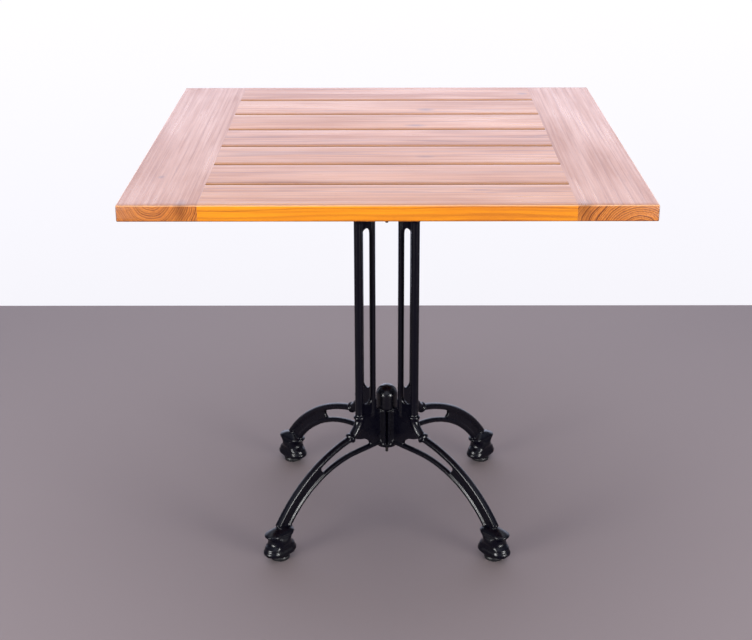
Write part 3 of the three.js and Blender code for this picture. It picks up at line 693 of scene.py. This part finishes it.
# the parts of one casting are fused and their inner corners filled, as in a sand mould
def fuseCasting():
    whole = bmesh.new()
    for part in castingParts():
        mesh = bpy.data.meshes.new("castingPart")
        part.to_mesh(mesh)
        part.free()
        whole.from_mesh(mesh)
        bpy.data.meshes.remove(mesh)
    bmesh.ops.scale(whole, vec=(millimetre,) * 3, verts=whole.verts)
    mesh = bpy.data.meshes.new("castingBlank")
    whole.to_mesh(mesh)
    whole.free()
    blank = bpy.data.objects.new("castingBlank", mesh)
    bpy.context.scene.collection.objects.link(blank)
    fuse = blank.modifiers.new("fuse", "REMESH")
    fuse.mode = "VOXEL"
    fuse.voxel_size = casting["grain"] * millimetre
    fuse.use_smooth_shade = True
    soften = blank.modifiers.new("soften", "SMOOTH")
    soften.factor = 0.5
    soften.iterations = casting["softening"]
    bpy.context.view_layer.update()
    graph = bpy.context.evaluated_depsgraph_get()
    fused = bpy.data.meshes.new_from_object(blank.evaluated_get(graph))
    bpy.data.objects.remove(blank)
    return fused


blackEnamel = makeEnamel("blackEnamel")
fused = fuseCasting()
print("casting faces", len(fused.polygons))
quarterTurns = {"front_right": -45, "rear_right": 45, "rear_left": 135, "front_left": -135}
for name, turn in quarterTurns.items():
    mesh = fused.copy()
    mesh.transform(Matrix.Rotation(math.radians(turn), 4, "Z"))
    placeMesh("iron_casting_" + name, mesh, "frame", blackEnamel,
              ["leg_casting_" + name], 180)
bpy.data.meshes.remove(fused)
print("castings made")


# glides under the feet

glide = {"radius": 17.2, "height": 7.7, "stem": 4, "stemTop": 32, "pitch": 1.25}


def buildGlide(angle):
    g = glide
    r, stem, top = g["radius"], g["stem"], g["stemTop"]
    profile = [(0, 0), (r - 2.2, 0), (r - 0.9, 0.35), (r - 0.25, 1.1), (r, 2.2), (r, 6.2), (r - 0.5, 7.2),
               (r - 1.5, g["height"]), (stem, g["height"])]
    z = g["height"]
    while z < top - 2:
        profile += [(stem, z + 0.3), (stem - 0.5, z + 0.8)]
        z += g["pitch"]
    profile += [(stem - 0.4, top - 0.6), (stem - 1, top), (0, top)]
    shape = spinProfile(profile, 64)
    place = Vector((math.cos(angle), math.sin(angle), 0)) * casting["footR"]
    bmesh.ops.translate(shape, vec=place, verts=shape.verts)
    return shape


blackNylon = makeNylon("blackNylon")
for name, turn in quarterTurns.items():
    finishPiece("nylon_glide_" + name, buildGlide(math.radians(turn)), "glide_" + name + "_body",
                blackNylon, ["glide_" + name])
print("glides made")


# round cap nut on the middle of the base

finial = {"radius": 19.8, "base": 209.3, "straight": 24.8, "bore": 3.3, "boreDepth": 30}


def buildFinial():
    f = finial
    r, base = f["radius"], f["base"]
    shoulder = base + f["straight"]
    bore, boreTop = f["bore"], base + f["boreDepth"]
    profile = [(0, boreTop), (bore, boreTop - 1), (bore, base), (r - 1.4, base), (r - 0.4, base + 0.3),
               (r, base + 1.2), (r, base + 2.6)]
    profile += [(r * math.cos(a), shoulder + r * math.sin(a))
                for a in (math.pi / 2 * k / 28 for k in range(28))]
    profile += [(0, shoulder + r)]
    return spinProfile(profile, 96)


finialEnamel = makeEnamel("finialEnamel", dict(enamel, upper=1.0, ripple=0.00003, ior=1.36))
finishPiece("iron_finial_cap_nut", buildFinial(), "frame", finialEnamel, ["finial_cap_nut"])


# tie rod, bolt, nuts and washers

hardware = {"rodRadius": 3, "rodLow": 115, "rodHigh": 228, "pitch": 1.25, "nutAcross": 11.5, "nutHeight": 5,
            "washerRadius": 7.5, "washerHole": 3.4, "washerThickness": 1.2,
            "lowerSeat": 142.7, "upperSeat": 590.7, "topSeat": 661.5, "boltTip": 568, "boltHead": 4.5,
            "fit": 0.3}


def threadedRod(low, high):
    h = hardware
    r = h["rodRadius"]
    root = r - 0.55
    profile = [(0, low), (r - 0.7, low), (r - 0.2, low + 0.5)]
    z = low + 0.7
    while z + h["pitch"] < high - 0.7:
        middle = z + h["pitch"] / 2
        profile += [(r, z), (r, z + 0.15), (root, middle), (root, middle + 0.15)]
        z += h["pitch"]
    profile += [(r, z), (r - 0.2, high - 0.5), (r - 0.7, high), (0, high)]
    return spinProfile(profile, 32)


def hexBlock(low, height, hole):
    shape = bmesh.new()
    bmesh.ops.create_circle(shape, cap_ends=False, segments=6, radius=hardware["nutAcross"] / 2)
    rim = shape.edges[:]
    if hole:
        bmesh.ops.create_circle(shape, cap_ends=False, segments=6, radius=hole / math.cos(math.pi / 6))
        bmesh.ops.bridge_loops(shape, edges=shape.edges[:])
    else:
        bmesh.ops.contextual_create(shape, geom=rim)
    grown = bmesh.ops.extrude_face_region(shape, geom=shape.faces[:])
    verts = [g for g in grown["geom"] if isinstance(g, bmesh.types.BMVert)]
    bmesh.ops.translate(shape, vec=(0, 0, height), verts=verts)
    bmesh.ops.translate(shape, vec=(0, 0, low), verts=shape.verts)
    bmesh.ops.recalc_face_normals(shape, faces=shape.faces)
    edges = [e for e in shape.edges if e.is_manifold and e.calc_face_angle(0) > 0.6
             and (e.verts[0].co.xy.length + e.verts[1].co.xy.length) / 2 > 4.5]
    bmesh.ops.bevel(shape, geom=edges, offset=0.45, offset_type="OFFSET", segments=2, profile=0.5,
                    affect="EDGES", material=-1, clamp_overlap=True)
    return shape


def washerDisc(seat):
    hole, r = hardware["washerHole"], hardware["washerRadius"]
    low = seat - hardware["washerThickness"]
    return spinProfile([(hole, low), (r - 0.3, low), (r, low + 0.3), (r, seat - 0.3), (r - 0.3, seat),
                        (hole, seat)], 48)


def hexNut(seat):
    h = hardware
    low = seat - h["washerThickness"] - h["fit"] - h["nutHeight"]
    return hexBlock(low, h["nutHeight"], h["washerHole"])


def hexBolt(seat):
    h = hardware
    bolt = threadedRod(h["boltTip"], seat + 0.8)
    head = hexBlock(seat + h["fit"], h["boltHead"], 0)
    mesh = bpy.data.meshes.new("boltHead")
    head.to_mesh(mesh)
    head.free()
    bolt.from_mesh(mesh)
    bpy.data.meshes.remove(mesh)
    return bolt


def addHardware():
    h = hardware
    shapes = {
        "lower_tie_rod": threadedRod(h["rodLow"], h["rodHigh"]),
        "lower_washer": washerDisc(h["lowerSeat"]),
        "lower_nut": hexNut(h["lowerSeat"]),
        "upper_bottom_washer": washerDisc(h["upperSeat"]),
        "upper_nut": hexNut(h["upperSeat"]),
        "upper_top_washer": washerDisc(h["topSeat"]),
        "upper_bolt": hexBolt(h["topSeat"]),
    }
    blackSteel = makeZinc("blackSteel", blackened)
    for name, shape in shapes.items():
        finishPiece("zinc_" + name, shape, "frame", blackSteel, [name])


addHardware()


# wood screws: one through each batten into every slat, two through each arm pad

screws = {
    "battenX": 120, "battenUnder": 679, "reach": 303,
    "slat": {"shank": 2, "head": 4, "length": 32},
    "pad": {"shank": 2.2, "head": 5, "headHeight": 3, "bite": 12, "spacing": 16, "seat": 670.7},
}


def crossRecess(shape, low, depth, half, width):
    for axis in (0, 1):
        sliceAcross(shape, axis, [-half, -width / 2, width / 2, half])
    cross = [f for f in shape.faces if f.normal.z < -0.7 and abs(f.calc_center_median().z - low) < 0.4
             and max(abs(f.calc_center_median().x), abs(f.calc_center_median().y)) < half
             and min(abs(f.calc_center_median().x), abs(f.calc_center_median().y)) < width / 2]
    pushFaces(shape, cross, (0, 0, depth))


def threadLine(shank, low, high, pitch=1.4):
    points = []
    z = low
    while z + pitch < high:
        points += [(shank - 0.5, z), (shank, z + pitch * 0.45), (shank - 0.5, z + pitch * 0.8)]
        z += pitch
    return points


def slatScrew():
    s = screws["slat"]
    low = screws["battenUnder"] + 0.6
    tip = screws["battenUnder"] + s["length"]
    profile = [(0, low), (s["head"] - 0.2, low), (s["head"], low + 0.2), (s["head"], low + 0.6),
               (s["shank"], low + 3.4), (s["shank"], low + 12)]
    profile += threadLine(s["shank"], low + 12.4, tip - 4) + [(s["shank"] - 0.4, tip - 4), (0, tip)]
    shape = spinProfile(profile, 24)
    crossRecess(shape, low, 1.8, 1.9, 0.8)
    return shape


def padScrew():
    s = screws["pad"]
    low = s["seat"] - s["headHeight"]
    tip = screws["battenUnder"] + s["bite"]
    profile = [(0, low), (2.6, low), (s["head"] - 1.5, low + 0.35), (s["head"] - 0.5, low + 1.1),
               (s["head"], low + 2.1), (s["head"], s["seat"]), (s["shank"], s["seat"])]
    profile += threadLine(s["shank"], s["seat"] + 0.5, tip - 3) + [(s["shank"] - 0.4, tip - 3), (0, tip)]
    shape = spinProfile(profile, 24)
    crossRecess(shape, low, 1.7, 2.2, 0.9)
    return shape


def addScrews():
    s = screws
    zincPlate = makeZinc("zincPlate")
    for index in range(boards["slats"]):
        y = max(-s["reach"], min(s["reach"], slatPlace(index)))
        for sideName, side in (("left", -1), ("right", 1)):
            shape = slatScrew()
            bmesh.ops.rotate(shape, cent=(0, 0, 0), verts=shape.verts,
                             matrix=Matrix.Rotation(0.7 * index + side, 3, "Z"))
            bmesh.ops.translate(shape, vec=(side * s["battenX"], y, 0), verts=shape.verts)
            name = "slat_screw_%s_%d" % (sideName, index + 1)
            finishPiece("zinc_" + name, shape, "frame", zincPlate, [name])
    for endName, end in (("front", -1), ("rear", 1)):
        for sideName, side in (("left", -1), ("right", 1)):
            for place, across in (("outer", 1), ("inner", -1)):
                radial = casting["padR"] * math.sqrt(0.5)
                tangent = across * s["pad"]["spacing"] * math.sqrt(0.5)
                shape = padScrew()
                bmesh.ops.rotate(shape, cent=(0, 0, 0), verts=shape.verts,
                                 matrix=Matrix.Rotation(0.9 * end + 0.4 * side + across, 3, "Z"))
                bmesh.ops.translate(shape, vec=(side * (radial + tangent), end * (radial - tangent), 0),
                                    verts=shape.verts)
                name = "pad_screw_%s_%s_%s" % (endName, sideName, place)
                finishPiece("zinc_" + name, shape, "frame", zincPlate, [name])


addScrews()
print("hardware made")


# battens stay as drawn in the frame and take a planed wood finish

# the last colour listed is a painted highlight on the upper arrises
battenWood = {
    "pale": (0.34, 0.17, 0.070, 1), "middle": (0.26, 0.120, 0.045, 1),
    "dark": (0.17, 0.070, 0.025, 1), "streak": (0.10, 0.040, 0.016, 1), "paintedArrisHighlight": (0.36, 0.20, 0.10, 1),
    "ringWidth": 0.0050, "ringOnFace": 0.40, "ringOnEnd": 0.60, "endShade": 0.2,
    "roughness": (0.55, 0.75), "poreDepth": 0.0001,
}
for name, pith, seed in (("left", (-0.10, 0.62), 0.7), ("right", (0.14, 0.61), 4.1)):
    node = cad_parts["batten_" + name]
    node.data.materials.clear()
    node.data.materials.append(makeWood("battenWood_" + name, False, pith, seed=seed, finish=battenWood))


# studio, in metres: plain floor, white backdrop, two low lights at the front corners, a panel high in
# front and a large light overhead

studio = {
    "floor": (0.214, 0.176, 0.172, 1), "floorBack": 1.06, "floorFront": -4.0, "floorHalfWidth": 14,
    "floorRoughness": 0.8, "floorIor": 1.25,
    "backdrop": (0.955, 0.945, 1.0, 1), "wall": (0.89, 0.945, 1.20, 1), "ceiling": 0.8, "sides": 0.12,
    "frontPower": 32, "frontSize": (1.5, 0.64), "frontDistance": 3.4, "frontAngle": 47, "frontHeight": 0.41,
    "frontSpread": 75, "frontAim": (0, 0, 0.45),
    "panelPower": 36, "panelSize": (3.0, 3.0), "panelPlace": (0, -3.6, 2.5), "panelAim": (0, 0, 0.5),
    "panelColour": (0.86, 0.89, 1.0),
    "topPower": 66, "topSize": (3.4, 3.4), "topPlace": (0, 0.2, 3.0), "topAim": (0, 0, 0.7),
}
view = {
    "sensor": 36, "lens": 66.99, "place": (-0.0046, -2.3678, 1.3264),
    "pan": 0.363, "tilt": 68.25, "roll": -0.18,            # degrees
}


def addFloor():
    shape = bmesh.new()
    bmesh.ops.create_grid(shape, x_segments=1, y_segments=1, size=1)
    depth = studio["floorBack"] - studio["floorFront"]
    bmesh.ops.scale(shape, vec=(studio["floorHalfWidth"], depth / 2, 1), verts=shape.verts)
    bmesh.ops.translate(shape, vec=(0, studio["floorBack"] - depth / 2, 0), verts=shape.verts)
    mesh = bpy.data.meshes.new("floor")
    shape.to_mesh(mesh)
    shape.free()
    floor = bpy.data.objects.new("floor", mesh)
    bpy.context.scene.collection.objects.link(floor)
    material, tree, shader = newMaterial("floorPaint")
    shader.inputs["Base Color"].default_value = studio["floor"]
    shader.inputs["Roughness"].default_value = studio["floorRoughness"]
    shader.inputs["IOR"].default_value = studio["floorIor"]
    mesh.materials.append(material)


def addLight(name, place, target, size, power, colour=(1, 1, 1), spread=180):
    data = bpy.data.lights.new(name, "AREA")
    data.shape = "RECTANGLE"
    data.size, data.size_y = size
    data.energy = power
    data.color = colour
    data.spread = math.radians(spread)
    light = bpy.data.objects.new(name, data)
    light.location = place
    light.rotation_euler = (Vector(target) - Vector(place)).to_track_quat("-Z", "Y").to_euler()
    light.visible_camera = False
    bpy.context.scene.collection.objects.link(light)


def addStudio():
    s = studio
    addFloor()
    world = bpy.data.worlds.new("studio")
    bpy.context.scene.world = world
    world.use_nodes = True
    tree = world.node_tree
    tree.nodes.clear()
    output = tree.nodes.new("ShaderNodeOutputWorld")
    background = tree.nodes.new("ShaderNodeBackground")
    tree.links.new(background.outputs[0], output.inputs["Surface"])
    direction = addNode(tree, "SeparateXYZ", None, {0: addNode(tree, "TexCoord").outputs["Generated"]})
    # the lit wall behind the table, brightest some way above the horizon, in an otherwise dim room
    band = addNode(tree, "FloatCurve", None, {"Value": mapRange(tree, direction.outputs[2], -0.5, 0.5)})
    for place, level in ((0.0, 0.22), (0.14, 0.235), (0.34, 0.26), (0.55, 0.33), (0.71, 0.44), (0.79, 0.55),
                         (0.9, 0.5)):
        band.mapping.curves[0].points.new(place, level)
    points = band.mapping.curves[0].points
    points[0].location, points[-1].location = (0.0, 0.22), (1.0, 0.2)
    band.mapping.update()
    wall = mathNode(tree, "MULTIPLY", band.outputs[0], 6.0)
    behind = addNode(tree, "MapRange", {"interpolation_type": "SMOOTHSTEP"}, {
        "Value": direction.outputs[1], "From Min": 0.45, "From Max": 0.85}).outputs["Result"]
    over = mapRange(tree, direction.outputs[2], 0.5, 0.9, s["sides"], s["ceiling"])
    room = addNode(tree, "Mix", {"data_type": "FLOAT"}, {0: behind, 2: over, 3: wall}).outputs[0]
    seen = mapRange(tree, direction.outputs[2], -0.36, -0.10, 0.97, 1.08)
    toCamera = addNode(tree, "LightPath").outputs["Is Camera Ray"]
    level = addNode(tree, "Mix", {"data_type": "FLOAT"}, {0: toCamera, 2: room, 3: seen}).outputs[0]
    tree.links.new(mixColour(tree, toCamera, s["wall"], s["backdrop"]), background.inputs["Color"])
    tree.links.new(level, background.inputs["Strength"])
    for name, side in (("leftLight", -1), ("rightLight", 1)):
        angle = math.radians(s["frontAngle"])
        place = (side * s["frontDistance"] * math.sin(angle), -s["frontDistance"] * math.cos(angle),
                 s["frontHeight"])
        addLight(name, place, s["frontAim"], s["frontSize"], s["frontPower"], spread=s["frontSpread"])
    addLight("panelLight", s["panelPlace"], s["panelAim"], s["panelSize"], s["panelPower"], s["panelColour"])
    addLight("topLight", s["topPlace"], s["topAim"], s["topSize"], s["topPower"])


def addCamera():
    data = bpy.data.cameras.new("camera")
    data.sensor_width = view["sensor"]
    data.lens = view["lens"]
    data.clip_start, data.clip_end = 0.05, 60
    camera = bpy.data.objects.new("camera", data)
    turn = Matrix.Identity(4)
    for angle, axis in ((view["pan"], "Z"), (view["tilt"], "X"), (view["roll"], "Z")):
        turn = turn @ Matrix.Rotation(math.radians(angle), 4, axis)
    camera.matrix_world = Matrix.Translation(view["place"]) @ turn
    bpy.context.scene.collection.objects.link(camera)
    bpy.context.scene.camera = camera


addStudio()
addCamera()
bpy.context.scene.view_settings.view_transform = "Standard"
print("studio made")
